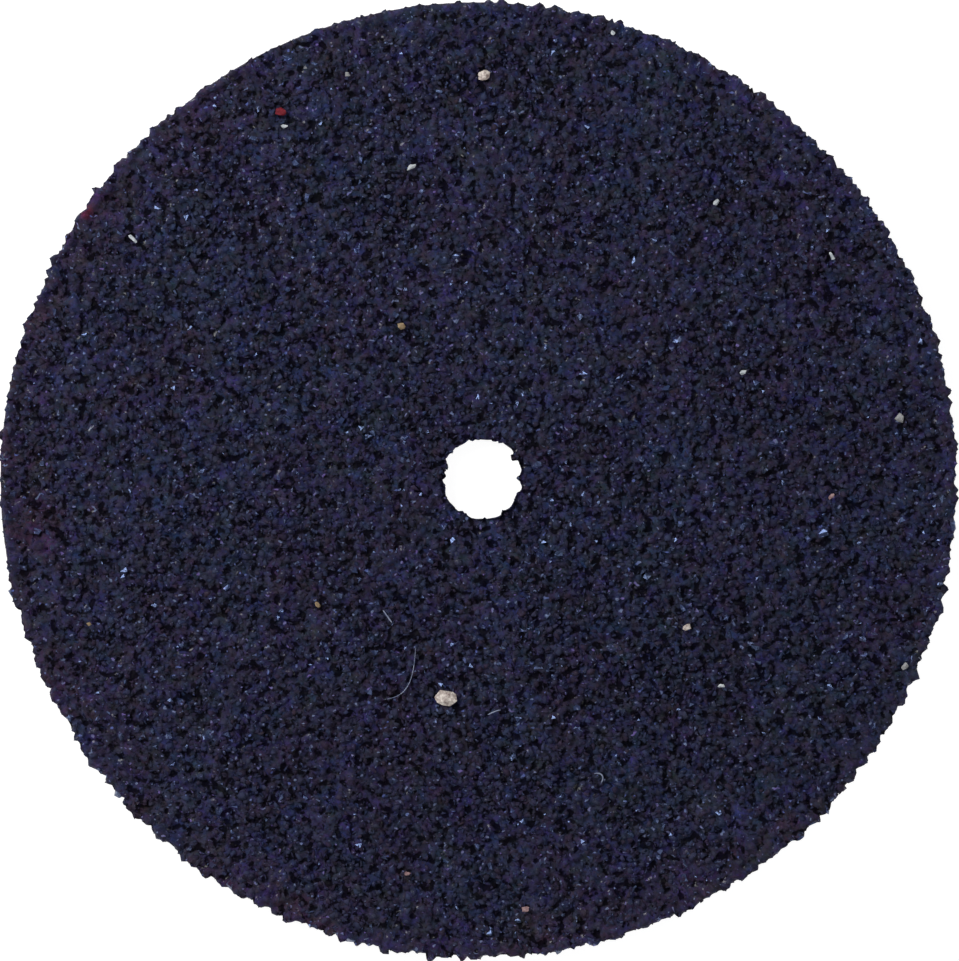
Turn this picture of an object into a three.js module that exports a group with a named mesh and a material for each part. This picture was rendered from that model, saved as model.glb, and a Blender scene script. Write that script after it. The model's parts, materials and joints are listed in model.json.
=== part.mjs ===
// Abrasive carving disc for a rotary tool: one flat round blank punched from coated abrasive sheet.
// Millimetres, +Z up. The origin is the middle of the rim on the backing's free face. The grit faces +Z.
import * as THREE from 'three';

// Driving dimensions
const discDiameter = 19.05; // three quarters of an inch
const boreDiameter = 1.6; // clears a sixteenth of an inch mandrel screw
const boreShiftX = 0.076; // how far the bore punch landed from the rim's middle
const boreShiftY = 0.034;
const backingThickness = 0.3;
const makeCoatThickness = 0.04;
const grainThickness = 0.15;
const sizeCoatThickness = 0.04;
const dieRoll = 0.03; // the punch rounds the backing's free edges by this much
const rimSegments = 120;
const rollSteps = 3;

// Heights of the layers' lower faces, from the backing's free face up
const makeCoatBottom = backingThickness;
const grainBottom = makeCoatBottom + makeCoatThickness;
const sizeCoatBottom = grainBottom + grainThickness;
const gritFace = sizeCoatBottom + sizeCoatThickness;

const rimRadius = discDiameter / 2;
const boreRadius = boreDiameter / 2;

const finishes = {
  backing: { color: 0x2a1f33, roughness: 0.85 },
  makeCoat: { color: 0x1b1626, roughness: 0.5 },
  grain: { color: 0x101625, roughness: 0.35 },
  sizeCoat: { color: 0x151a30, roughness: 0.4 },
};

// A quarter round that joins a layer's lower face to its wall, from the face to the wall.
// toWall is +1 where the wall lies outside the rounding and -1 where it lies inside.
function quarterRound(wallRadius, bottom, roll, toWall) {
  const points = [];
  for (let step = 0; step <= rollSteps; step += 1) {
    const turn = (step / rollSteps) * (Math.PI / 2);
    const radius = wallRadius - toWall * roll * (1 - Math.sin(turn));
    points.push(new THREE.Vector2(radius, bottom + roll * (1 - Math.cos(turn))));
  }
  return points;
}

// The cross-section of a layer as a closed outline: along the lower face, up the rim and back down the bore.
function layerOutline(bottom, top, roll) {
  const rimWall = roll > 0 ? quarterRound(rimRadius, bottom, roll, 1) : [new THREE.Vector2(rimRadius, bottom)];
  const boreWall = roll > 0 ? quarterRound(boreRadius, bottom, roll, -1) : [new THREE.Vector2(boreRadius, bottom)];
  const outline = [
    ...rimWall,
    new THREE.Vector2(rimRadius, top),
    new THREE.Vector2(boreRadius, top),
    ...boreWall.reverse(),
  ];
  outline.push(outline[0].clone());
  return outline;
}

// Moves the bore wall sideways, because the bore and the rim are cut by two punches.
function shiftBore(geometry) {
  const position = geometry.attributes.position;
  const halfway = (boreRadius + rimRadius) / 2;
  for (let i = 0; i < position.count; i += 1) {
    const x = position.getX(i);
    const y = position.getY(i);
    if (Math.hypot(x, y) < halfway) {
      position.setXY(i, x + boreShiftX, y + boreShiftY);
    }
  }
  position.needsUpdate = true;
}

function layer(name, bottom, top, finish, roll = 0) {
  const geometry = new THREE.LatheGeometry(layerOutline(bottom, top, roll), rimSegments);
  geometry.rotateX(Math.PI / 2);
  shiftBore(geometry);
  geometry.computeVertexNormals();
  const material = new THREE.MeshStandardMaterial({ ...finish, metalness: 0 });
  const mesh = new THREE.Mesh(geometry, material);
  mesh.name = name;
  return mesh;
}

const disc = new THREE.Group();
disc.add(layer('backing_disc', 0, makeCoatBottom, finishes.backing, dieRoll));
disc.add(layer('make_coat', makeCoatBottom, grainBottom, finishes.makeCoat));
disc.add(layer('abrasive_grain', grainBottom, sizeCoatBottom, finishes.grain));
disc.add(layer('size_coat', sizeCoatBottom, gritFace, finishes.sizeCoat));

export default disc;
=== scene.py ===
"""Looks of a small abrasive carving disc: grit set in resin on a fibrous backing, punched round."""

import json
import math

import bmesh
import bpy
import numpy as np
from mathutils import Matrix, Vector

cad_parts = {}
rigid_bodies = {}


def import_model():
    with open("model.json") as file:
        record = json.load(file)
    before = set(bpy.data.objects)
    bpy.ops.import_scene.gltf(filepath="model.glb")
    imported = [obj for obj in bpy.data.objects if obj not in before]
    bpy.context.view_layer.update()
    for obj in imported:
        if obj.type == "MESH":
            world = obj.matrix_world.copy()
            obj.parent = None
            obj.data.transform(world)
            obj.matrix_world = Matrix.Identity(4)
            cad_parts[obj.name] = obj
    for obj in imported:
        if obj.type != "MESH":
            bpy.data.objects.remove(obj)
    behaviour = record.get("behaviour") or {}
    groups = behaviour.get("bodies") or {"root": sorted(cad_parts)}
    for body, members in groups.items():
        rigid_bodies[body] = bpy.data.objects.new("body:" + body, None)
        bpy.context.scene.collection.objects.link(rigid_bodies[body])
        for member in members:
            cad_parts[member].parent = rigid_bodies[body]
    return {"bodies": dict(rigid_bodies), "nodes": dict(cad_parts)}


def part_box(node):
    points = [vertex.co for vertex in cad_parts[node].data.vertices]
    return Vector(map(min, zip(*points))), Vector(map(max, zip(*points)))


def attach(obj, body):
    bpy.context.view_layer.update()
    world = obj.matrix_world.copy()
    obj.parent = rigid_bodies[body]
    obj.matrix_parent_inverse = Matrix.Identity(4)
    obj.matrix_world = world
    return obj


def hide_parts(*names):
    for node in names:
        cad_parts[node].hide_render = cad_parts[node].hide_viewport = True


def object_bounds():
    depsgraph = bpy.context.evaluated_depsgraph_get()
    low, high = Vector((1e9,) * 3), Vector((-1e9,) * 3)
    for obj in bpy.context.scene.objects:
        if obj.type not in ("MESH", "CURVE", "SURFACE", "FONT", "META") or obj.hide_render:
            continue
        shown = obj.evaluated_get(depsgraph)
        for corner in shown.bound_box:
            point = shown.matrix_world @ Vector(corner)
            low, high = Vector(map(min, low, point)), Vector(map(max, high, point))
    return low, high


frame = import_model()
CAD_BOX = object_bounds()

MM = 0.001
FULL_TURN = 2 * math.pi
SEED = 11
NOISE_CELLS = 256

# Grit: pitch, sizes and forms of the grains, the shares missing and bare, and the heights of the painted
# pit shade
GRAIN_PITCH = 0.112 * MM
GRAIN_SIZE = 0.15 * MM
GRAIN_SPREAD = 0.22
GRAIN_LEAST, GRAIN_MOST = 0.08 * MM, 0.23 * MM
GRAIN_REACH = 0.46
GRAIN_JITTER = 0.3
GRAIN_TURN = math.radians(22)
FORM_COUNT = 24
FORM_POINTS = 9
STRAY_FORM_COUNT = 6
STRAY_FORM_POINTS = 24
MISSING_SHARE = 0.1
BARE_SHARE = 0.1
PIT_FLOOR = 0.012 * MM
PIT_BRINK = 0.11 * MM

# Grains that stand out of the cut edges: (degrees round from +X, how far they stand out in mm)
RIM_GRAIN_PITCH = 0.105 * MM
RIM_GRAIN_SIZES = (0.14 * MM, 0.3 * MM)
BORE_GRAIN_PITCH = 0.1 * MM
BORE_GRAIN_SIZES = (0.06 * MM, 0.12 * MM)
PROUD_AT_RIM = (
    (3.6, 0.07),
    (10.9, 0.08),
    (36, 0.08),
    (42.5, 0.06),
    (66, 0.08),
    (80, 0.07),
    (87, 0.1),
    (88.6, 0.1),
    (143, 0.13),
    (161, 0.1),
    (174.5, 0.1),
    (193.5, 0.12),
    (232, 0.11),
    (233.4, 0.08),
    (259, 0.12),
    (268, 0.1),
    (315, 0.09),
)
PROUD_AT_BORE = (
    (0, 0.06),
    (35, 0.11),
    (73, 0.05),
    (96, 0.04),
    (164, 0.07),
    (176, 0.06),
    (239, 0.06),
    (302, 0.05),
)

# Cut edges: arcs as (start, end, softness) in degrees, waves as (pitch in mm, height in mm, extra seed)
CLEAN_ARCS = ((88, 122, 12), (168, 190, 8))
TORN_ARC = (212, 276, 20)
SWOLLEN_ARC = (315, 345, 20)
SUNKEN_ARC = (276, 305, 12)
BORE_CHIP = (146, 158, 8)
RIM_WAVES = ((0.8, 0.014, 1), (0.2, 0.016, 4))
BORE_WAVES = ((0.2, 0.034, 2), (0.09, 0.014, 14))
SWELL = 0.01 * MM
CHIP_DEPTH = 0.03 * MM
BORE_OVAL = 0.015 * MM

# Grains of other colours in the grit: (x, y, length, width) in mm, and degrees round
STRAY = {
    "cream": (
        (-0.65, -4.33, 0.46, 0.31, -15),
        (0.11, 8.05, 0.27, 0.20, 20),
        (4.13, -2.92, 0.17, 0.12, 20),
    ),
    "white": (
        (-3.86, 7.03, 0.14, 0.08, 0),
        (-1.34, 6.23, 0.21, 0.10, 30),
        (4.72, 5.52, 0.14, 0.10, 45),
        (5.26, 2.15, 0.15, 0.09, 20),
        (-6.87, 4.80, 0.22, 0.07, -45),
        (7.02, 4.46, 0.17, 0.07, -65),
        (4.82, -4.08, 0.15, 0.07, 0),
        (2.67, 8.89, 0.09, 0.10, 0),
    ),
    "grey": ((8.36, 1.24, 0.20, 0.20, 0), (8.47, -3.70, 0.15, 0.12, 40), (-2.60, 8.07, 0.10, 0.09, 0)),
    "tan": ((-1.53, 3.06, 0.16, 0.14, 0), (-3.20, -2.47, 0.14, 0.09, -60), (-7.74, -2.86, 0.10, 0.08, 0)),
    "pink": ((7.01, -0.32, 0.15, 0.08, 40), (0.93, -8.52, 0.15, 0.11, 0), (-1.41, -7.81, 0.13, 0.08, 0)),
    "red": ((-3.93, 7.33, 0.22, 0.16, 0),),
}

# Fibres caught in the resin: radius and four control points each, in mm
FIBRE_STEPS = 28
FIBRE_SIDES = 8
FIBRES = (
    (0.007, (-1.25, -3.31), (-1.29, -3.95), (-1.38, -4.32), (-1.89, -4.35)),
    (0.014, (2.29, -5.83), (2.44, -5.79), (2.52, -5.88), (2.43, -6.02)),
    (0.014, (-1.90, -2.58), (-1.84, -2.66), (-1.78, -2.75), (-1.72, -2.83)),
    (0.012, (0.18, -4.66), (0.25, -4.62), (0.34, -4.58), (0.44, -4.56)),
)

# Reddish stains in the resin: (x, y, radius) in mm and the tint that multiplies the colour
STAINS = ((-8.7, -0.9, 0.75, (1.4, 0.86, 0.84)), (-7.81, 5.34, 0.18, (2.2, 0.7, 0.7)))

# Resin film over the grit: how far apart its points lie, how it levels out, where it is thick (patches as
# pitch in mm, strength and extra seed), and how it wraps the edges in beads and tears under them
RASTER_STEP = 0.03 * MM
GRID_MARGIN = 0.4 * MM
FILM_STEP = 0.056 * MM
RIM_STEP = 0.03 * MM
BORE_STEP = 0.022 * MM
FILM_FLOW = 0.028 * MM
FILM_LEAST = 0.01 * MM
FILM_SHARE, WET_SHARE = 0.85, 0.35
WET_PATCHES = ((0.5, 1.0, 12), (1.3, 0.6, 13))
WET_RIM, WET_RIM_GAIN = 1.2 * MM, 1.2
EDGE_BAND = 0.3 * MM
EDGE_ROUND = 0.09 * MM
EDGE_DROP = 0.4
RIM_BEAD = 0.052 * MM
BORE_BEAD = 0.03 * MM
BORE_WALL = 0.11 * MM
WALL_LEVELS = 5
TEAR_PITCH = 0.1 * MM
BORE_TEAR, RIM_TEAR = 0.02 * MM, 0.025 * MM
RIM_UNDERCUT = 0.005 * MM

# Backing and make coat: the spacing of their points, how far their rims lie inside the disc's where the
# cut is ragged and where it is clean, and how the punch rounds the backing's free edges
LAYER_STEP = 0.05 * MM
UNDER_STEP = 0.1 * MM
BACKING_INSET, BACKING_INSET_CLEAN = 0.075 * MM, 0.015 * MM
MAKE_INSET, MAKE_INSET_CLEAN = 0.07 * MM, 0.02 * MM
DIE_ROLL = 0.03 * MM
ROLL_SHARE = 0.1

# Studio: turn and elevation of each lamp in degrees, distance in metres and power in watts
LAMPS = ((145, 45, 0.085, 0.046), (40, 38, 0.3, 0.085), (250, 36, 0.3, 0.085), (330, 36, 0.3, 0.08))
LAMP_SPREAD = 0.53
FLOOR_SIZE = 1.6
SWEEP_RADIUS = 0.6
SWEEP_RISE = 0.1


# ---------------------------------------------------------------- the frame's measures


def bore_of(node):
    """(centre, radius) of a ring node's bore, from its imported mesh."""
    points = np.array([v.co[:2] for v in frame["nodes"][node].data.vertices])
    low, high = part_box(node)
    wall = points[np.hypot(points[:, 0], points[:, 1]) < (high.x - low.x) / 4]
    centre = (wall.min(0) + wall.max(0)) / 2
    return centre, float(np.hypot(*(wall - centre).T).min())


BACK_FACE, MAKE_BOTTOM = (corner.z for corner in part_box("backing_disc"))
GRAIN_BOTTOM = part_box("abrasive_grain")[0].z
GRIT_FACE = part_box("size_coat")[1].z
RIM_RADIUS = (CAD_BOX[1].x - CAD_BOX[0].x) / 2
GRAIN_ROOM = GRIT_FACE - MAKE_BOTTOM - 0.01 * MM
BORE_CENTRE, BORE_RADIUS = bore_of("backing_disc")
RING_WIDTH = RIM_RADIUS - BORE_RADIUS


# ---------------------------------------------------------------- noise and rings


def smooth(t):
    return t * t * (3 - 2 * t)


def value_noise(x, y, pitch, seed):
    """Soft random field between -1 and 1 with blobs about pitch across."""
    cells = np.random.default_rng(seed).uniform(-1, 1, (NOISE_CELLS, NOISE_CELLS))
    column, row = np.floor(x / pitch).astype(int), np.floor(y / pitch).astype(int)
    u, v = smooth(x / pitch - column), smooth(y / pitch - row)
    left, right = column % NOISE_CELLS, (column + 1) % NOISE_CELLS
    below, above = row % NOISE_CELLS, (row + 1) % NOISE_CELLS
    low = cells[below, left] * (1 - u) + cells[below, right] * u
    high = cells[above, left] * (1 - u) + cells[above, right] * u
    return low * (1 - v) + high * v


def ring_noise(turns, radius, pitch, seed, height=0.0):
    """Noise round a ring: no seam, because it is read on a circle."""
    x = radius * np.cos(FULL_TURN * turns)
    y = radius * np.sin(FULL_TURN * turns)
    return value_noise(x + height, y - height, pitch, seed)


def waves(turns, radius, kinds):
    """Waviness of a cut edge, from noises of several pitches."""
    total = 0
    for pitch, rise, extra in kinds:
        total = total + ring_noise(turns, radius, pitch * MM, SEED + extra) * rise * MM
    return total


def between(turns, start, end, soft):
    """1 inside the arc from start to end degrees, falling to 0 over soft degrees outside it."""
    middle, half = (start + end) / 2, (end - start) / 2
    away = np.abs((turns * 360 - middle + 180) % 360 - 180) - half
    return smooth(np.clip(1 - away / soft, 0, 1))


def turns_for(count):
    return np.arange(count) / count


def loop(radius, height, turns, centre=(0.0, 0.0)):
    """A closed ring of points. radius and height are numbers or arrays, one for each turn."""
    angle = FULL_TURN * turns
    x = centre[0] + radius * np.cos(angle)
    y = centre[1] + radius * np.sin(angle)
    return np.stack([x, y, np.broadcast_to(height, x.shape)], 1)


def zip_loops(first_a, count_a, first_b, count_b):
    """Triangles that join two closed loops of points, whatever their counts."""
    steps = np.concatenate([(np.arange(count_a) + 1) / count_a, (np.arange(count_b) + 1) / count_b])
    along_a = np.argsort(steps, kind="stable") < count_a
    done_a = np.cumsum(along_a) - along_a
    done_b = np.cumsum(~along_a) - ~along_a
    third = np.where(along_a, first_a + (done_a + 1) % count_a, first_b + (done_b + 1) % count_b)
    return np.stack([first_a + done_a % count_a, third, first_b + done_b % count_b], 1)


def shell(loops):
    """A closed ring-shaped solid from loops that go out over its top, down its rim and back under it."""
    counts = [len(points) for points in loops]
    firsts = np.concatenate([[0], np.cumsum(counts)[:-1]])
    faces = []
    for here in range(len(loops)):
        after = (here + 1) % len(loops)
        faces.append(zip_loops(firsts[after], counts[after], firsts[here], counts[here]))
    return np.concatenate(loops), np.concatenate(faces)


def mesh_object(name, points, faces, materials, rounded=True, slots=None):
    """A mesh with one of the materials on each face. rounded is one value, or one for each face."""
    mesh = bpy.data.meshes.new(name)
    mesh.vertices.add(len(points))
    mesh.vertices.foreach_set("co", np.asarray(points, np.float32).ravel())
    mesh.loops.add(faces.size)
    mesh.loops.foreach_set("vertex_index", faces.astype(np.int32).ravel())
    mesh.polygons.add(len(faces))
    mesh.polygons.foreach_set("loop_start", np.arange(0, faces.size, 3, dtype=np.int32))
    mesh.polygons.foreach_set("use_smooth", np.broadcast_to(rounded, len(faces)).astype(bool))
    for material in materials:
        mesh.materials.append(material)
    if slots is not None:
        mesh.polygons.foreach_set("material_index", slots.astype(np.int32))
    mesh.update(calc_edges=True)
    mesh.validate()
    made = bpy.data.objects.new(name, mesh)
    bpy.context.scene.collection.objects.link(made)
    return made


def belongs(piece, slot, *nodes):
    """Every piece here is part of the one rigid body."""
    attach(piece, "root" if "root" in frame["bodies"] else next(iter(frame["bodies"])))
    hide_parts(*nodes)
    return piece


# ---------------------------------------------------------------- outline of the punched coats


def clean_cut(turns):
    """1 on the arcs that the punch left almost clean."""
    return np.maximum.reduce([between(turns, *arc) for arc in CLEAN_ARCS])


def rim_roughness(turns):
    """How ragged the coats are round the rim."""
    return 1 - 0.5 * clean_cut(turns) + 0.3 * between(turns, *TORN_ARC)


def coat_rim(turns):
    """Radius of the coats' rim before the grains that hang over it."""
    rough = rim_roughness(turns)
    inset = (0.014 + 0.014 * np.minimum(rough, 1)) * MM
    swell = SWELL * (between(turns, *SWOLLEN_ARC) - between(turns, *SUNKEN_ARC))
    return RIM_RADIUS - inset + waves(turns, RIM_RADIUS, RIM_WAVES) * rough + swell


def resin_rim(turns):
    """Radius of the resin between the grains that hang over the rim."""
    return coat_rim(turns) - 0.045 * MM * np.minimum(rim_roughness(turns), 1)


def bore_edge(turns):
    """Radius of the bore's wall, which is slightly oval and chipped on one side."""
    wave = waves(turns, BORE_RADIUS, BORE_WAVES)
    oval = BORE_OVAL * np.cos(2 * FULL_TURN * turns)
    return BORE_RADIUS - 0.006 * MM + wave - oval + CHIP_DEPTH * between(turns, *BORE_CHIP)


# ---------------------------------------------------------------- crystals


def crystal_forms(rng, count, corner_count):
    """Closed angular shards about one unit across, each the hull of a few scattered points."""
    forms = []
    for _ in range(count):
        directions = rng.normal(size=(corner_count, 3))
        directions /= np.linalg.norm(directions, axis=1, keepdims=True)
        points = directions * rng.uniform(0.42, 0.58, (corner_count, 1))
        form = bmesh.new()
        for point in points:
            form.verts.new(point)
        hull = bmesh.ops.convex_hull(form, input=form.verts)
        inside = hull["geom_interior"] + hull["geom_unused"]
        inside = {part for part in inside if isinstance(part, bmesh.types.BMVert)}
        bmesh.ops.delete(form, geom=list(inside), context="VERTS")
        bmesh.ops.recalc_face_normals(form, faces=form.faces)
        form.verts.index_update()
        corners = np.array([v.co for v in form.verts])
        faces = np.array([[v.index for v in face.verts] for face in form.faces])
        form.free()
        forms.append((corners, faces))
    return forms


def random_turns(rng, count):
    """Random rotation matrices, from random unit quaternions."""
    q = rng.normal(size=(count, 4))
    w, x, y, z = (q / np.linalg.norm(q, axis=1, keepdims=True)).T
    rows = [
        [1 - 2 * (y * y + z * z), 2 * (x * y - z * w), 2 * (x * z + y * w)],
        [2 * (x * y + z * w), 1 - 2 * (x * x + z * z), 2 * (y * z - x * w)],
        [2 * (x * z - y * w), 2 * (y * z + x * w), 1 - 2 * (x * x + y * y)],
    ]
    return np.moveaxis(np.array(rows), 2, 0)


def strays():
    """Every stray grain as x, y, length, width and turn, with the name of its colour."""
    rows = [(row, colour) for colour, group in STRAY.items() for row in group]
    scale = np.array([MM, MM, MM, MM, math.radians(1)])
    return np.array([row for row, _ in rows]) * scale, [colour for _, colour in rows]


def grain_places(rng):
    """Places and sizes of the grains: a jittered honeycomb over the disc, with some missing."""
    row_gap = GRAIN_PITCH * math.sqrt(3) / 2
    rows = int(1.1 * RIM_RADIUS / row_gap)
    columns = int(1.1 * RIM_RADIUS / GRAIN_PITCH)
    row, column = np.mgrid[-rows : rows + 1, -columns : columns + 1]
    along = (column + 0.5 * (row % 2)).ravel() * GRAIN_PITCH
    across = row.ravel() * row_gap
    x = along * math.cos(GRAIN_TURN) - across * math.sin(GRAIN_TURN)
    y = along * math.sin(GRAIN_TURN) + across * math.cos(GRAIN_TURN)
    x = x + rng.normal(0, GRAIN_JITTER * GRAIN_PITCH, x.shape)
    y = y + rng.normal(0, GRAIN_JITTER * GRAIN_PITCH, y.shape)
    size = np.clip(GRAIN_SIZE * np.exp(rng.normal(0, GRAIN_SPREAD, x.shape)), GRAIN_LEAST, GRAIN_MOST)
    kept = rng.uniform(size=x.shape) > MISSING_SHARE
    turns = np.arctan2(y, x) / FULL_TURN % 1
    kept &= np.hypot(x, y) + GRAIN_REACH * size < coat_rim(turns)
    u, v = x - BORE_CENTRE[0], y - BORE_CENTRE[1]
    kept &= np.hypot(u, v) - GRAIN_REACH * size > bore_edge(np.arctan2(v, u) / FULL_TURN % 1)
    for stray in strays()[0]:
        kept &= np.hypot(x - stray[0], y - stray[1]) > 0.35 * stray[2] + 0.04 * MM
    return np.stack([x, y, size], 1)[kept]


def edge_places(rng, pitch, radius, centre, proud, stand, sizes, side):
    """Grains that the punch left standing out of a cut edge: outwards for side 1, inwards for -1.

    radius and stand are functions of the turn: the edge's radius, and how far a random grain stands out.
    """
    count = int(FULL_TURN * np.mean(radius(turns_for(60))) / pitch)
    turns = (turns_for(count) + rng.uniform(-0.45, 0.45, count) / count) % 1
    turns = np.concatenate([turns, [degrees / 360 for degrees, _ in proud]])
    reach = np.concatenate([stand(turns[:count]), [length * MM for _, length in proud]])
    size = np.maximum(rng.uniform(*sizes, len(turns)), 1.4 * reach)
    middle = radius(turns) + side * (reach - 0.4 * size)
    angle = FULL_TURN * turns
    return np.stack([centre[0] + middle * np.cos(angle), centre[1] + middle * np.sin(angle), size], 1)


def rim_places(rng):
    def stand(turns):
        return (rng.gamma(1.8, 0.021, len(turns)).clip(0, 0.11) - 0.006) * MM * rim_roughness(turns)

    return edge_places(rng, RIM_GRAIN_PITCH, coat_rim, (0, 0), PROUD_AT_RIM, stand, RIM_GRAIN_SIZES, 1)


def bore_places(rng):
    def stand(turns):
        return (rng.gamma(1.5, 0.015, len(turns)).clip(0, 0.06) - 0.006) * MM

    sizes = BORE_GRAIN_SIZES
    return edge_places(rng, BORE_GRAIN_PITCH, bore_edge, BORE_CENTRE, PROUD_AT_BORE, stand, sizes, -1)


def set_grains(rng, places, forms):
    """The crystals, sunk in the make coat and capped at the grit face.

    Those that share a form come together, as their numbers, their corner points and the form's faces.
    """
    count = len(places)
    stretch = np.stack([np.ones(count), rng.uniform(0.65, 1, count), rng.uniform(0.6, 0.95, count)], 1)
    turn = random_turns(rng, count)
    which = rng.integers(0, FORM_COUNT, count)
    sink = rng.uniform(0.08, 0.4, count)
    grains = []
    for number, (corners, faces) in enumerate(forms):
        mine = np.nonzero(which == number)[0]
        local = corners[None] * (stretch[mine] * places[mine, 2:])[:, None]
        placed = np.einsum("nij,nkj->nki", turn[mine], local)
        placed[..., 2] *= np.minimum(1, GRAIN_ROOM / np.ptp(placed[..., 2], axis=1))[:, None]
        low, high = placed[..., 2].min(1), placed[..., 2].max(1)
        lift = GRAIN_BOTTOM - low - sink[mine] * (high - low)
        lift = np.minimum(lift, GRIT_FACE - 0.004 * MM - high)
        lift = np.maximum(lift, MAKE_BOTTOM + 0.002 * MM - low)
        placed[..., 2] += lift[:, None]
        placed[..., :2] += places[mine, None, :2]
        grains.append((mine, placed, faces))
    return grains


def joined(grains, chosen):
    """One mesh from the chosen crystals: points, faces and each point's crystal number."""
    points, faces, owners, first = [], [], [], 0
    for mine, placed, form_faces in grains:
        use = chosen[mine]
        some = placed[use]
        count, corners = some.shape[0], some.shape[1]
        points.append(some.reshape(-1, 3))
        starts = first + corners * np.arange(count)
        faces.append((starts[:, None, None] + form_faces[None]).reshape(-1, 3))
        owners.append(np.repeat(mine[use], corners))
        first += count * corners
    return np.concatenate(points), np.concatenate(faces), np.concatenate(owners)


# ---------------------------------------------------------------- height of the grit


def blurred(field, spread):
    """Gaussian blur along both axes, spread in cells."""
    reach = int(math.ceil(3 * spread))
    weights = np.exp(-0.5 * (np.arange(-reach, reach + 1) / spread) ** 2)
    weights /= weights.sum()
    for axis in (0, 1):
        padded = np.pad(field, [(reach, reach) if a == axis else (0, 0) for a in (0, 1)], mode="edge")
        length = field.shape[axis]
        parts = [w * np.take(padded, np.arange(k, k + length), axis) for k, w in enumerate(weights)]
        field = sum(parts)
    return field


class Heights:
    """The grit's height on a square grid over the disc."""

    def __init__(self, points, faces):
        self.low = -RIM_RADIUS - GRID_MARGIN
        self.count = int(-2 * self.low / RASTER_STEP) + 1
        self.grid = np.full(self.count * self.count, GRAIN_BOTTOM)
        corners = points[faces]
        normal = np.cross(corners[:, 1] - corners[:, 0], corners[:, 2] - corners[:, 0])
        self.add(corners[normal[:, 2] > 0])
        self.grid = self.grid.reshape(self.count, self.count)

    def add(self, corners):
        """Raises the grid to each upward-facing triangle."""
        flat = (corners[..., :2] - self.low) / RASTER_STEP
        first = np.ceil(flat.min(1)).astype(int)
        span = int(np.ceil((flat.max(1) - flat.min(1)).max())) + 1
        a, b, c = flat[:, 0], flat[:, 1], flat[:, 2]
        area = (b[:, 0] - a[:, 0]) * (c[:, 1] - a[:, 1]) - (b[:, 1] - a[:, 1]) * (c[:, 0] - a[:, 0])
        for dx in range(span):
            for dy in range(span):
                px, py = first[:, 0] + dx, first[:, 1] + dy
                wb = ((px - a[:, 0]) * (c[:, 1] - a[:, 1]) - (py - a[:, 1]) * (c[:, 0] - a[:, 0])) / area
                wc = ((b[:, 0] - a[:, 0]) * (py - a[:, 1]) - (b[:, 1] - a[:, 1]) * (px - a[:, 0])) / area
                hit = (wb >= 0) & (wc >= 0) & (wb + wc <= 1)
                height = corners[:, 0, 2] * (1 - wb - wc) + corners[:, 1, 2] * wb + corners[:, 2, 2] * wc
                np.maximum.at(self.grid, py[hit] * self.count + px[hit], height[hit])

    def flow(self, spread):
        """The same grid as resin of that spread would level it."""
        return blurred(self.grid, spread / RASTER_STEP)

    def read(self, field, x, y):
        """A field's value at each point, between the grid's."""
        u, v = (x - self.low) / RASTER_STEP, (y - self.low) / RASTER_STEP
        column = np.clip(np.floor(u).astype(int), 0, self.count - 2)
        row = np.clip(np.floor(v).astype(int), 0, self.count - 2)
        u, v = u - column, v - row
        low = field[row, column] * (1 - u) + field[row, column + 1] * u
        high = field[row + 1, column] * (1 - u) + field[row + 1, column + 1] * u
        return low * (1 - v) + high * v


# ---------------------------------------------------------------- pieces


def edge_reach(points, centre, turns, start, side, bead):
    """Edge of the resin over the grains, in rounded beads: outwards for side 1, inwards for -1."""
    count = len(turns)
    x, y = points[:, 0] - centre[0], points[:, 1] - centre[1]
    bins = np.round(np.arctan2(y, x) / FULL_TURN % 1 * count).astype(int) % count
    reach = side * start.copy()
    np.maximum.at(reach, bins, side * np.hypot(x, y))
    reach = side * start + 0.95 * (reach - side * start)
    gap = FULL_TURN * float(np.mean(start)) / count
    steps = int(bead / gap)
    shifts = range(-steps, steps + 1)
    lumps = [np.roll(reach, k) - bead + math.sqrt(bead**2 - (k * gap) ** 2) for k in shifts]
    return side * np.maximum.reduce(lumps)


def edge_marks(points, faces):
    """Corners and edge middles of the crystals, where they stand clear of the make coat."""
    middles = [(points[faces[:, a]] + points[faces[:, b]]) / 2 for a, b in ((0, 1), (1, 2), (2, 0))]
    marks = np.concatenate([points, *middles])
    return marks[marks[:, 2] > GRAIN_BOTTOM + 0.02 * MM]


def film_heights(heights, levelled, ring, share):
    """Height of the resin at a ring of points, a share of the way from the bore to the rim."""
    x, y = ring[:, 0], ring[:, 1]
    from_bore = share * RING_WIDTH
    from_rim = (1 - share) * RING_WIDTH
    wet = 0
    for pitch, strength, extra in WET_PATCHES:
        wet = wet + strength * value_noise(x, y, pitch * MM, SEED + extra)
    wet = wet + WET_RIM_GAIN * max(0.0, 1 - from_rim / WET_RIM)
    height = heights.read(levelled, x, y)
    height = GRAIN_BOTTOM + FILM_LEAST + (FILM_SHARE + WET_SHARE * wet) * (height - GRAIN_BOTTOM)
    height = height + value_noise(x, y, 0.06 * MM, SEED + 3) * 0.004 * MM
    rounding = max(0.0, 1 - from_rim / EDGE_ROUND, 1 - from_bore / EDGE_ROUND)
    height = height - rounding**2 * EDGE_DROP * (height - GRAIN_BOTTOM)
    return np.minimum(height, GRIT_FACE)


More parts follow.
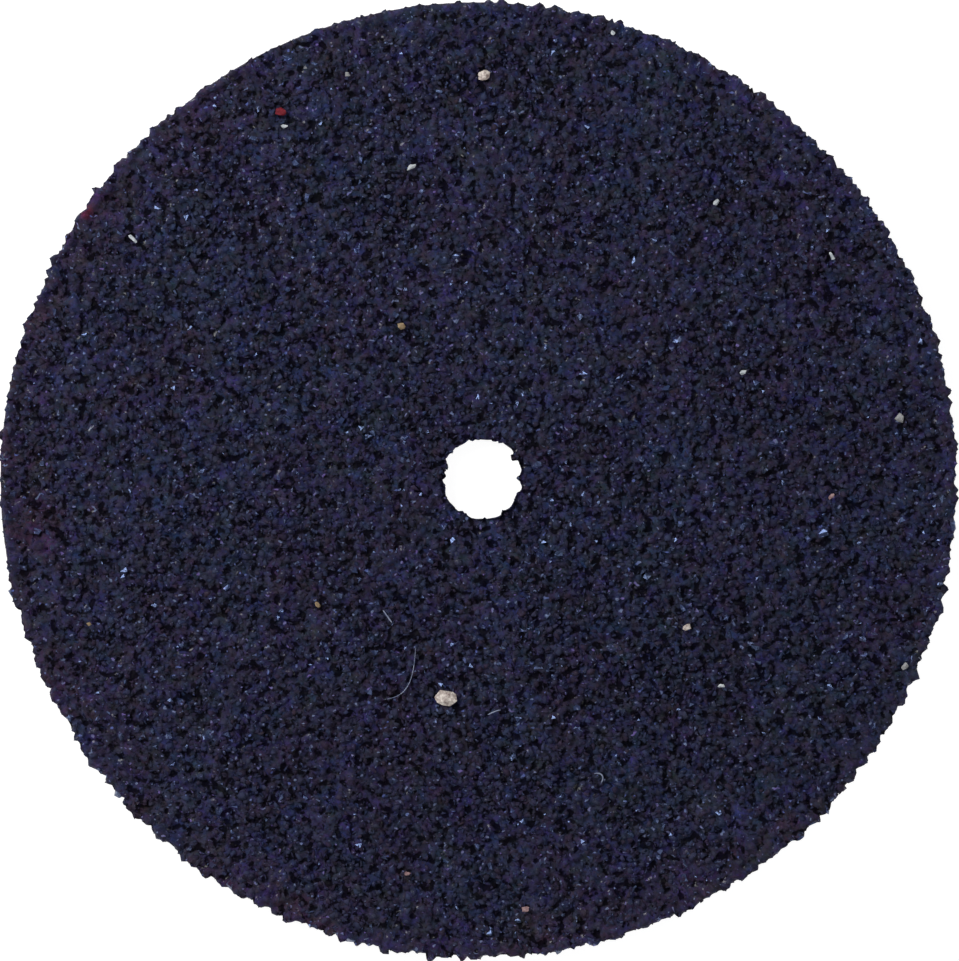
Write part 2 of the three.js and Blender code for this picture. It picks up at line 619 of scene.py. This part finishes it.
def film_top(heights, bore_turns, bore_reach, rim_turns, rim_reach):
    """The rings of the resin's upper side, from the bore's edge to the rim's."""
    levelled = heights.flow(FILM_FLOW)
    rings = []
    for share in np.linspace(0, 1, int(RING_WIDTH / FILM_STEP)):
        middle = BORE_RADIUS + share * RING_WIDTH
        turns = turns_for(max(int(FULL_TURN * middle / FILM_STEP), len(bore_turns)))
        inner = np.interp(turns, bore_turns, bore_reach, period=1)
        outer = np.interp(turns, rim_turns, rim_reach, period=1)
        ring = loop(inner * (1 - share) + outer * share, 0.0, turns, BORE_CENTRE * (1 - share))
        ring[:, 2] = film_heights(heights, levelled, ring, share)
        rings.append(ring)
    return rings


def size_coat(heights, points, faces, material):
    """The resin over the grit: a skin that follows the grains, wraps the edges and is pitted between."""
    rim_turns = turns_for(int(FULL_TURN * RIM_RADIUS / RIM_STEP))
    bore_turns = turns_for(int(FULL_TURN * BORE_RADIUS / BORE_STEP))
    marks = edge_marks(points, faces)
    at_rim = np.hypot(marks[:, 0], marks[:, 1]) > RIM_RADIUS - EDGE_BAND
    at_bore = np.hypot(*(marks[:, :2] - BORE_CENTRE).T) < BORE_RADIUS + EDGE_BAND
    rim_start = resin_rim(rim_turns)
    rim_reach = edge_reach(marks[at_rim], (0, 0), rim_turns, rim_start, 1, RIM_BEAD)
    bore_reach = edge_reach(marks[at_bore], BORE_CENTRE, bore_turns, bore_edge(bore_turns), -1, BORE_BEAD)

    loops = []
    for share in np.linspace(0, 1, WALL_LEVELS, endpoint=False):
        torn = ring_noise(bore_turns, BORE_RADIUS, TEAR_PITCH, SEED + 5, share * MM) * BORE_TEAR
        radius = bore_reach + (BORE_TEAR + torn) * (1 - share)
        loops.append(loop(radius, GRAIN_BOTTOM + share * BORE_WALL, bore_turns, BORE_CENTRE))
    loops += film_top(heights, bore_turns, bore_reach, rim_turns, rim_reach)
    top = np.interp(rim_turns, turns_for(len(loops[-1])), loops[-1][:, 2], period=1)
    for share in np.linspace(0, 1, WALL_LEVELS + 1)[1:]:
        torn = ring_noise(rim_turns, RIM_RADIUS, TEAR_PITCH, SEED + 6, share * MM) * RIM_TEAR
        radius = rim_reach * (1 - share) + (rim_start - RIM_UNDERCUT + torn) * share
        loops.append(loop(radius, top * (1 - share) + GRAIN_BOTTOM * share, rim_turns))
    for share in (0.7, 0.35):
        middle = BORE_RADIUS + share * RING_WIDTH
        loops.append(loop(middle, GRAIN_BOTTOM, turns_for(360), BORE_CENTRE * (1 - share)))
    made = mesh_object("size_coat_resin", *shell(loops), [material])
    return belongs(made, "size_coat", "size_coat")


def layer(bottom, top, rim_shape, bore_shape, levels, under_step, top_shares):
    """Loops of a layer: up the bore, over the top, down the rim and back underneath.

    The underside is fibrous, with points under_step apart, or flat where that is 0.
    """
    rim_turns = turns_for(int(FULL_TURN * RIM_RADIUS / LAYER_STEP))
    bore_turns = turns_for(int(FULL_TURN * BORE_RADIUS / (0.03 * MM)))
    loops = []
    for share in np.linspace(0, 1, levels):
        height = bottom + share * (top - bottom)
        loops.append(loop(bore_shape(bore_turns, share), height, bore_turns, BORE_CENTRE))
    for share in top_shares:
        middle = BORE_RADIUS + share * RING_WIDTH
        turns = turns_for(int(FULL_TURN * middle / (2 * LAYER_STEP)))
        loops.append(loop(middle, top, turns, BORE_CENTRE * (1 - share)))
    for share in np.linspace(1, 0, levels):
        loops.append(loop(rim_shape(rim_turns, share), bottom + share * (top - bottom), rim_turns))
    rings = int(RING_WIDTH / under_step) if under_step else 2
    for share in np.linspace(1, 0, rings + 2)[1:-1]:
        middle = BORE_RADIUS + share * RING_WIDTH
        count = int(FULL_TURN * middle / under_step) if under_step else 180
        ring = loop(middle, bottom, turns_for(count), BORE_CENTRE * (1 - share))
        if under_step:
            fibres = value_noise(ring[:, 0], ring[:, 1] * 2.5, 0.22 * MM, SEED + 8)
            ring[:, 2] += 0.004 * MM * (1 + fibres)
        loops.append(ring)
    return loops


def die_roll(share):
    """How far the punch rounded the backing's edge back, at a share of its thickness."""
    below = 1 - min(share / ROLL_SHARE, 1)
    return DIE_ROLL * (1 - math.sqrt(max(0.0, 1 - below**2)))


def backing(material):
    """Resin-saturated fibre board: its cut edge shows plies, and the punch rolled its free edge over."""

    def rim_shape(turns, share):
        plies = ring_noise(turns, RIM_RADIUS, 1.1 * MM, SEED + 20 + int(share * 9)) * 0.010 * MM
        strokes = ring_noise(turns, RIM_RADIUS, 0.07 * MM, SEED + 40) * 0.004 * MM
        edge = RIM_RADIUS - BACKING_INSET + (BACKING_INSET - BACKING_INSET_CLEAN) * clean_cut(turns)
        return edge + plies + strokes - die_roll(share)

    def bore_shape(turns, share):
        plies = ring_noise(turns, BORE_RADIUS, 0.3 * MM, SEED + 60 + int(share * 9)) * 0.008 * MM
        return bore_edge(turns) + plies + die_roll(share)

    rings = (0.3, 0.6, 0.9, 0.97)
    loops = layer(BACK_FACE, MAKE_BOTTOM, rim_shape, bore_shape, 13, UNDER_STEP, rings)
    return belongs(mesh_object("backing_board", *shell(loops), [material]), "backing", "backing_disc")


def make_coat(material):
    """The adhesive that holds the grit: a thin line at the cut edges."""

    def rim_shape(turns, share):
        ooze = ring_noise(turns, RIM_RADIUS, 0.35 * MM, SEED + 80) * 0.014 * MM
        belly = 0.008 * MM * math.sin(math.pi * share)
        edge = RIM_RADIUS - MAKE_INSET + (MAKE_INSET - MAKE_INSET_CLEAN) * clean_cut(turns)
        return edge * (1 - share) + resin_rim(turns) * share + ooze + belly

    def bore_shape(turns, share):
        ooze = ring_noise(turns, BORE_RADIUS, 0.2 * MM, SEED + 81) * 0.01 * MM
        return bore_edge(turns) + 0.006 * MM + ooze - 0.006 * MM * math.sin(math.pi * share)

    loops = layer(MAKE_BOTTOM, GRAIN_BOTTOM, rim_shape, bore_shape, 5, 0, (0.3, 0.6, 0.9))
    return belongs(mesh_object("make_coat_resin", *shell(loops), [material]), "make_coat", "make_coat")


def grit(rng, forms, coated, bare):
    """All the crystals, as four quadrants of loose solids: most are coated with resin, a few are bare."""
    places = np.concatenate([grain_places(rng), rim_places(rng), bore_places(rng)])
    grains = set_grains(rng, places, forms)
    tones = rng.uniform(size=len(places))
    is_bare = rng.uniform(size=len(places)) < BARE_SHARE
    quadrant = (places[:, 0] < 0) + 2 * (places[:, 1] < 0)
    for number, name in enumerate(("ne", "nw", "se", "sw")):
        points, faces, owners = joined(grains, quadrant == number)
        sharp = is_bare[owners[faces[:, 0]]]
        made = mesh_object(f"grit_crystals_{name}", points, faces, [coated, bare], ~sharp, sharp)
        tone = made.data.attributes.new("tone", "FLOAT", "POINT")
        tone.data.foreach_set("value", tones[owners].astype(np.float32))
        belongs(made, "grain", "abrasive_grain")
    points, faces, _ = joined(grains, np.ones(len(places), bool))
    return points, faces


def stray_grains(rng, forms):
    """Grains of other minerals that came with the grit, one piece for each colour."""
    sizes, colours = strays()
    for colour in STRAY:
        points, faces, first = [], [], 0
        for x, y, length, width, turn in sizes[[name == colour for name in colours]]:
            corners, form_faces = forms[rng.integers(len(forms))]
            corners = corners @ random_turns(rng, 1)[0].T
            corners = (corners - corners.min(0)) / np.ptp(corners, axis=0) - 0.5
            corners = corners * (length, width, min(0.8 * width, GRAIN_ROOM))
            arms = np.hypot(corners[:, 0], corners[:, 1])
            turns = np.arctan2(corners[:, 1], corners[:, 0]) / FULL_TURN
            spun = loop(arms, corners[:, 2], turns + turn / FULL_TURN)
            spun += (x, y, GRIT_FACE - 0.002 * MM - spun[:, 2].max())
            points.append(spun)
            faces.append(form_faces + first)
            first += len(spun)
        points, faces = np.concatenate(points), np.concatenate(faces)
        made = mesh_object(f"stray_grains_{colour}", points, faces, [stray_material(colour)], False)
        belongs(made, "grain", "abrasive_grain")


def fibres(rng, material):
    """Short textile fibres that lie on the highest grains, stuck in the size coat."""
    share = np.linspace(0, 1, FIBRE_STEPS)[:, None]
    rest = 1 - share
    around = turns_for(FIBRE_SIDES)
    points, faces, first = [], [], 0
    for radius, *controls in FIBRES:
        a, b, c, d = (np.array(control) * MM for control in controls)
        path = a * rest**3 + 3 * b * share * rest**2 + 3 * c * share**2 * rest + d * share**3
        along = np.gradient(path, axis=0)
        side = np.stack([-along[:, 1], along[:, 0]], 1) / np.linalg.norm(along, axis=1)[:, None]
        thick = radius * MM * (1 - 0.75 * np.abs(2 * share[:, 0] - 1) ** 6)
        wave = 0.004 * MM * np.sin(9 * share[:, 0] + rng.uniform(0, 6))
        middle = GRIT_FACE - (radius + 0.003) * MM - wave
        for place, beside, reach, height in zip(path, side, thick, middle):
            x, z = reach * np.cos(FULL_TURN * around), reach * np.sin(FULL_TURN * around)
            points.append(np.column_stack([place + beside * x[:, None], height + z]))
        last = first + FIBRE_SIDES * (FIBRE_STEPS - 1)
        for start in range(first, last, FIBRE_SIDES):
            faces.append(zip_loops(start, FIBRE_SIDES, start + FIBRE_SIDES, FIBRE_SIDES))
        for start, order in ((first, -1), (last, 1)):
            fan = [[start, start + k, start + k + 1][::order] for k in range(1, FIBRE_SIDES - 1)]
            faces.append(np.array(fan))
        first = last + FIBRE_SIDES
    made = mesh_object("lint_fibres", np.concatenate(points), np.concatenate(faces), [material])
    return belongs(made, "size_coat", "size_coat")


# ---------------------------------------------------------------- materials


class Surface:
    """A Principled material under construction, with short calls for its nodes."""

    def __init__(self, name, **settings):
        self.material = bpy.data.materials.new(name)
        self.material.use_nodes = True
        self.tree = self.material.node_tree
        self.shader = self.tree.nodes["Principled BSDF"]
        self.set(self.shader, **settings)

    def set(self, node, **settings):
        for key, value in settings.items():
            node.inputs[key.replace("_", " ")].default_value = value

    def node(self, kind, links=(), **inputs):
        made = self.tree.nodes.new(kind)
        self.set(made, **inputs)
        for source, name in links:
            self.tree.links.new(source, made.inputs[name])
        return made

    def place(self):
        return self.tree.nodes.new("ShaderNodeTexCoord").outputs["Object"]

    def noise(self, size, detail=2.0, roughness=0.5):
        """Noise whose blobs are about size across, in metres."""
        made = self.node("ShaderNodeTexNoise", [(self.place(), "Vector")])
        self.set(made, Scale=1 / size, Detail=detail, Roughness=roughness)
        return made.outputs["Fac"]

    def cells(self, size):
        """Angular cells about size across, in metres, each with a random value of its own."""
        made = self.node("ShaderNodeTexVoronoi", [(self.place(), "Vector")], Scale=1 / size)
        return made.outputs["Color"]

    def ramp(self, value, *stops):
        made = self.tree.nodes.new("ShaderNodeValToRGB")
        self.tree.links.new(value, made.inputs["Fac"])
        elements = made.color_ramp.elements
        while len(elements) < len(stops):
            elements.new(1.0)
        for element, (position, colour) in zip(elements, stops):
            element.position = position
            element.color = (*colour, 1.0)
        return made.outputs["Color"]

    def map(self, value, low, high, to_low, to_high):
        made = self.node("ShaderNodeMapRange", [(value, "Value")])
        self.set(made, From_Min=low, From_Max=high, To_Min=to_low, To_Max=to_high)
        return made.outputs["Result"]

    def mix(self, kind, share, first, second):
        """Blends two colours. share is a number or a socket."""
        made = self.tree.nodes.new("ShaderNodeMix")
        made.data_type = "RGBA"
        made.blend_type = kind
        if isinstance(share, float):
            made.inputs["Factor"].default_value = share
        else:
            self.tree.links.new(share, made.inputs["Factor"])
        for socket, value in ((made.inputs[6], first), (made.inputs[7], second)):
            if isinstance(value, tuple):
                socket.default_value = (*value, 1.0)
            else:
                self.tree.links.new(value, socket)
        return made.outputs[2]

    def flat_place(self):
        """The place without its height."""
        made = self.node("ShaderNodeVectorMath", [(self.place(), "Vector")])
        made.operation = "MULTIPLY"
        made.inputs[1].default_value = (1, 1, 0)
        return made.outputs["Vector"]

    def distance(self, place, x, y):
        made = self.node("ShaderNodeVectorMath", [(place, "Vector")])
        made.operation = "DISTANCE"
        made.inputs[1].default_value = (x, y, 0)
        return made.outputs["Value"]

    def total(self, first, second, kind="ADD"):
        made = self.tree.nodes.new("ShaderNodeMath")
        made.operation = kind
        self.tree.links.new(first, made.inputs[0])
        self.tree.links.new(second, made.inputs[1])
        return made.outputs["Value"]

    def height(self):
        """Height above the backing's free face, in metres."""
        apart = self.node("ShaderNodeSeparateXYZ", [(self.place(), "Vector")])
        return apart.outputs["Z"]

    def bump(self, value, distance, strength):
        made = self.node("ShaderNodeBump", [(value, "Height")], Strength=strength, Distance=distance)
        self.tree.links.new(made.outputs["Normal"], self.shader.inputs["Normal"])

    def link(self, value, name):
        self.tree.links.new(value, self.shader.inputs[name])


def stain(surface, colour):
    """Brownish resin round the rim on one side, and two reddish stains."""
    place = surface.flat_place()
    rim = surface.map(surface.distance(place, 0, 0), RIM_RADIUS - 1.3 * MM, RIM_RADIUS, 0.0, 0.9)
    side = surface.map(surface.distance(place, 12 * MM, 9 * MM), 13 * MM, 20 * MM, 0.0, 1.0)
    uneven = surface.map(surface.noise(1.2 * MM), 0.3, 0.7, 0.0, 1.5)
    rim = surface.total(surface.total(rim, side, "MULTIPLY"), uneven, "MULTIPLY")
    colour = surface.mix("MIX", rim, colour, surface.mix("MULTIPLY", 1.0, colour, (1.5, 0.95, 0.85)))
    for x, y, radius, tint in STAINS:
        away = surface.distance(place, x * MM, y * MM)
        near = surface.map(away, radius * MM, 0.4 * radius * MM, 0.0, 1.0)
        colour = surface.mix("MIX", near, colour, surface.mix("MULTIPLY", 1.0, colour, tint))
    return colour


def resin_tint(surface):
    """Navy resin with faint violet, teal and reddish patches a millimetre or two across."""
    broad = surface.ramp(
        surface.noise(2.4 * MM, 3),
        (0.3, (0.032, 0.026, 0.057)),
        (0.45, (0.030, 0.028, 0.062)),
        (0.55, (0.029, 0.030, 0.065)),
        (0.7, (0.027, 0.032, 0.064)),
    )
    hue = surface.ramp(
        surface.noise(0.3 * MM, 4, 0.75),
        (0.3, (1.36, 0.84, 1.15)),
        (0.45, (1.08, 0.96, 1.03)),
        (0.55, (0.9, 1.03, 0.98)),
        (0.7, (0.64, 1.12, 0.98)),
    )
    blue = surface.ramp(
        surface.noise(0.45 * MM, 4, 0.75),
        (0.3, (1.12, 1.06, 0.6)),
        (0.5, (1.0, 1.0, 1.0)),
        (0.7, (0.88, 0.93, 1.65)),
    )
    facets = surface.ramp(
        surface.cells(0.1 * MM),
        (0.2, (0.75, 0.75, 0.75)),
        (0.5, (1.0, 1.0, 1.0)),
        (0.8, (1.25, 1.27, 1.32)),
    )
    grain = surface.ramp(
        surface.noise(0.07 * MM, 2, 0.7),
        (0.3, (0.78, 0.78, 0.78)),
        (0.5, (1.0, 1.0, 1.0)),
        (0.7, (1.24, 1.26, 1.33)),
    )
    patches = surface.ramp(
        surface.noise(0.55 * MM, 2),
        (0.3, (0.84, 0.84, 0.84)),
        (0.5, (1.0, 1.0, 1.0)),
        (0.7, (1.2, 1.2, 1.21)),
    )
    value = surface.mix("MULTIPLY", 1.0, surface.mix("MULTIPLY", 1.0, facets, grain), patches)
    tint = surface.mix("MULTIPLY", 1.0, surface.mix("MULTIPLY", 1.0, broad, hue), blue)
    return stain(surface, surface.mix("MULTIPLY", 1.0, tint, value))


def painted_pit_shade(surface, colour):
    """Painted shade: the colour darkens to nearly black low down between the grains, where the pits lie
    in shade.
    """
    share = surface.map(surface.height(), GRAIN_BOTTOM + PIT_FLOOR, GRAIN_BOTTOM + PIT_BRINK, 0.0, 0.5)
    ragged = surface.map(surface.noise(0.19 * MM, 1.5), 0.2, 0.8, -0.25, 0.65)
    chipped = surface.map(surface.cells(0.08 * MM), 0.1, 0.9, -0.14, 0.2)
    level = surface.total(share, surface.total(ragged, chipped))
    # Painted shade: near black in the pits, full colour higher up
    dark = surface.ramp(
        level, (0.17, (0.11, 0.09, 0.125)), (0.23, (0.42, 0.40, 0.42)), (0.33, (1.0, 1.0, 1.0))
    )
    return surface.mix("MULTIPLY", 1.0, colour, dark)


def painted_glints(surface, colour, low, high):
    """Painted glints: pin-sharp blue to white spots in the colour, in place of flashes from tiny bare
    facets.
    """
    flash = surface.ramp(
        surface.noise(0.4 * MM, 2),
        (0.35, (0.10, 0.13, 0.36)),
        (0.5, (0.17, 0.21, 0.34)),
        (0.65, (0.17, 0.12, 0.36)),
    )
    share = surface.map(surface.noise(0.08 * MM, 0), low, high, 0.0, 1.0)
    return surface.mix("MIX", share, colour, flash)


def wet_spots(surface):
    """Small spots where the resin dried glossy."""
    return surface.map(surface.noise(0.11 * MM, 1), 0.62, 0.68, 0.0, 0.5)


def resin_finish(surface, colour, bumps, rise, strength):
    """The painted shade in the pits, the wet spots and fine bumps that all the resin shares, over a
    colour.
    """
    surface.link(painted_pit_shade(surface, colour), "Base Color")
    surface.link(surface.map(surface.noise(0.08 * MM, 2), 0.3, 0.7, 0.5, 0.8), "Roughness")
    surface.link(wet_spots(surface), "Coat Weight")
    surface.bump(surface.noise(bumps, 2), rise, strength)
    return surface.material


def size_coat_material():
    surface = Surface("navy_resin", Specular_IOR_Level=0.05, Coat_Roughness=0.22)
    # Painted glints in the resin's colour
    colour = painted_glints(surface, resin_tint(surface), 0.735, 0.81)
    return resin_finish(surface, colour, 0.035 * MM, 0.012 * MM, 0.45)


def shard_colour(surface, share, *stops):
    """Each crystal has a colour of its own, mixed with the resin's patches."""
    tone = surface.node("ShaderNodeAttribute")
    tone.attribute_name = "tone"
    shard = surface.ramp(tone.outputs["Fac"], *stops)
    return surface.mix("MIX", share, shard, resin_tint(surface))


def coated_crystal_material():
    surface = Surface("resin_coated_crystal", Specular_IOR_Level=0.05, Coat_Roughness=0.22)
    colour = shard_colour(
        surface,
        0.4,
        (0.0, (0.016, 0.013, 0.024)),
        (0.2, (0.040, 0.026, 0.044)),
        (0.35, (0.026, 0.026, 0.056)),
        (0.5, (0.036, 0.036, 0.062)),
        (0.65, (0.028, 0.040, 0.090)),
        (0.8, (0.048, 0.048, 0.078)),
        (0.93, (0.046, 0.062, 0.130)),
        (1.0, (0.050, 0.030, 0.036)),
    )
    # Painted glints in the coated crystals' colour
    colour = painted_glints(surface, colour, 0.73, 0.805)
    return resin_finish(surface, colour, 0.03 * MM, 0.006 * MM, 0.38)


def bare_crystal_material():
    surface = Surface("bare_crystal", IOR=2.0, Roughness=0.26, Specular_Tint=(0.4, 0.55, 1.0, 1.0))
    colour = shard_colour(
        surface, 0.4, (0.0, (0.008, 0.008, 0.02)), (0.7, (0.014, 0.018, 0.05)), (1.0, (0.03, 0.05, 0.13))
    )
    # Painted glints in the bare crystals' colour
    colour = painted_glints(surface, colour, 0.66, 0.76)
    # Painted shade where the bare crystal lies low between the grains
    surface.link(painted_pit_shade(surface, colour), "Base Color")
    surface.bump(surface.noise(0.05 * MM, 1), 0.008 * MM, 0.7)
    return surface.material


STRAY_COLOURS = {
    "cream": ((0.30, 0.22, 0.20), (0.92, 0.83, 0.75)),
    "white": ((0.38, 0.42, 0.46), (0.75, 0.78, 0.80)),
    "grey": ((0.20, 0.20, 0.20), (0.42, 0.42, 0.42)),
    "tan": ((0.20, 0.13, 0.07), (0.42, 0.31, 0.18)),
    "pink": ((0.22, 0.12, 0.13), (0.46, 0.30, 0.30)),
    "red": ((0.10, 0.004, 0.010), (0.24, 0.008, 0.022)),
}


def stray_material(colour):
    surface = Surface(f"{colour}_mineral", Specular_IOR_Level=0.4)
    dark, light = STRAY_COLOURS[colour]
    surface.link(surface.ramp(surface.noise(0.1 * MM, 3, 0.7), (0.35, dark), (0.65, light)), "Base Color")
    surface.link(surface.map(surface.noise(0.06 * MM, 2), 0.3, 0.7, 0.35, 0.7), "Roughness")
    surface.bump(surface.noise(0.04 * MM, 2), 0.012 * MM, 0.8)
    return surface.material


def fibre_material():
    surface = Surface("pale_blue_fibre", Specular_IOR_Level=0.4)
    colour = surface.ramp(
        surface.noise(0.15 * MM, 2), (0.3, (0.12, 0.15, 0.26)), (0.7, (0.40, 0.44, 0.58))
    )
    surface.link(colour, "Base Color")
    surface.link(surface.map(surface.noise(0.05 * MM), 0.3, 0.7, 0.4, 0.7), "Roughness")
    surface.bump(surface.noise(0.02 * MM), 0.003 * MM, 0.6)
    return surface.material


def make_coat_material():
    surface = Surface("violet_adhesive", Specular_IOR_Level=0.4)
    colour = surface.ramp(
        surface.noise(0.4 * MM, 3),
        (0.3, (0.020, 0.014, 0.028)),
        (0.6, (0.032, 0.024, 0.048)),
        (0.8, (0.05, 0.03, 0.05)),
    )
    surface.link(colour, "Base Color")
    surface.link(surface.map(surface.noise(0.1 * MM), 0.3, 0.7, 0.35, 0.6), "Roughness")
    surface.bump(surface.noise(0.05 * MM), 0.008 * MM, 0.6)
    return surface.material


def backing_material():
    surface = Surface("fibre_board", Specular_IOR_Level=0.2)
    stretched = surface.node("ShaderNodeMapping", [(surface.place(), "Vector")])
    stretched.inputs["Scale"].default_value = (1.0, 2.5, 1.0)
    noise = surface.node("ShaderNodeTexNoise", [(stretched.outputs["Vector"], "Vector")])
    surface.set(noise, Scale=1 / (0.12 * MM))
    fibre = noise.outputs["Fac"]
    colour = surface.ramp(
        fibre,
        (0.25, (0.030, 0.020, 0.040)),
        (0.5, (0.052, 0.036, 0.066)),
        (0.75, (0.095, 0.066, 0.105)),
    )
    surface.link(colour, "Base Color")
    surface.link(surface.map(fibre, 0.3, 0.7, 0.7, 0.95), "Roughness")
    surface.bump(fibre, 0.01 * MM, 0.7)
    return surface.material


# ---------------------------------------------------------------- camera, light and floor


def studio():
    scene = bpy.context.scene
    scene.view_settings.view_transform = "Standard"
    scene.world = bpy.data.worlds.new("studio")
    scene.world.use_nodes = True
    sky = scene.world.node_tree.nodes["Background"]
    sky.inputs["Color"].default_value = (0.93, 0.96, 1.0, 1.0)
    sky.inputs["Strength"].default_value = 0.18

    surface = Surface("paper_floor", Roughness=0.9, Specular_IOR_Level=0.1)
    surface.set(surface.shader, Base_Color=(0.3, 0.3, 0.3, 1.0))
    surface.set(surface.shader, Emission_Color=(1.0, 1.0, 1.0, 1.0), Emission_Strength=0.92)
    bpy.ops.mesh.primitive_plane_add(size=FLOOR_SIZE, location=(0, 0, BACK_FACE - 0.002 * MM))
    floor = bpy.context.object
    floor.name = "floor"
    floor.data.materials.append(surface.material)
    bend = np.radians(np.linspace(0, 90, 13))
    radii = SWEEP_RADIUS + SWEEP_RISE * np.sin(bend)
    heights = 0.2 * MM + SWEEP_RISE * (1 - np.cos(bend))
    around = turns_for(96)
    rings = [loop(radius, height, around) for radius, height in zip(radii, heights)]
    firsts = len(around) * np.arange(len(rings) - 1)
    faces = [zip_loops(first, len(around), first + len(around), len(around)) for first in firsts]
    mesh_object("sweep", np.concatenate(rings), np.concatenate(faces), [surface.material])

    for turn, height, distance, energy in LAMPS:
        lamp = bpy.data.lights.new("softbox", "AREA")
        lamp.shape = "DISK"
        lamp.size = distance * LAMP_SPREAD
        lamp.energy = energy
        made = bpy.data.objects.new("softbox", lamp)
        a, e = math.radians(turn), math.radians(height)
        made.location = (math.cos(a) * math.cos(e), math.sin(a) * math.cos(e), math.sin(e))
        made.location *= distance
        made.rotation_euler = (math.pi / 2 - e, 0, a + math.pi / 2)
        scene.collection.objects.link(made)


def camera():
    """Straight down, a hair off the rim's middle, with the rim just inside the frame's longer side."""
    lens = bpy.data.cameras.new("camera")
    lens.lens, lens.sensor_width = 250.0, 36.0
    lens.clip_start, lens.clip_end = 0.005, 10
    made = bpy.data.objects.new("camera", lens)
    frame_side = 2 * RIM_RADIUS * 1.002
    made.location = (0.018 * MM, -0.004 * MM, GRIT_FACE + frame_side * lens.lens / lens.sensor_width)
    bpy.context.scene.collection.objects.link(made)
    bpy.context.scene.camera = made


def build():
    rng = np.random.default_rng(SEED)
    camera()
    studio()
    backing(backing_material())
    make_coat(make_coat_material())
    forms = crystal_forms(rng, FORM_COUNT, FORM_POINTS)
    points, faces = grit(rng, forms, coated_crystal_material(), bare_crystal_material())
    stray_grains(rng, crystal_forms(rng, STRAY_FORM_COUNT, STRAY_FORM_POINTS))
    fibres(rng, fibre_material())
    size_coat(Heights(points, faces), points, faces, size_coat_material())


build()
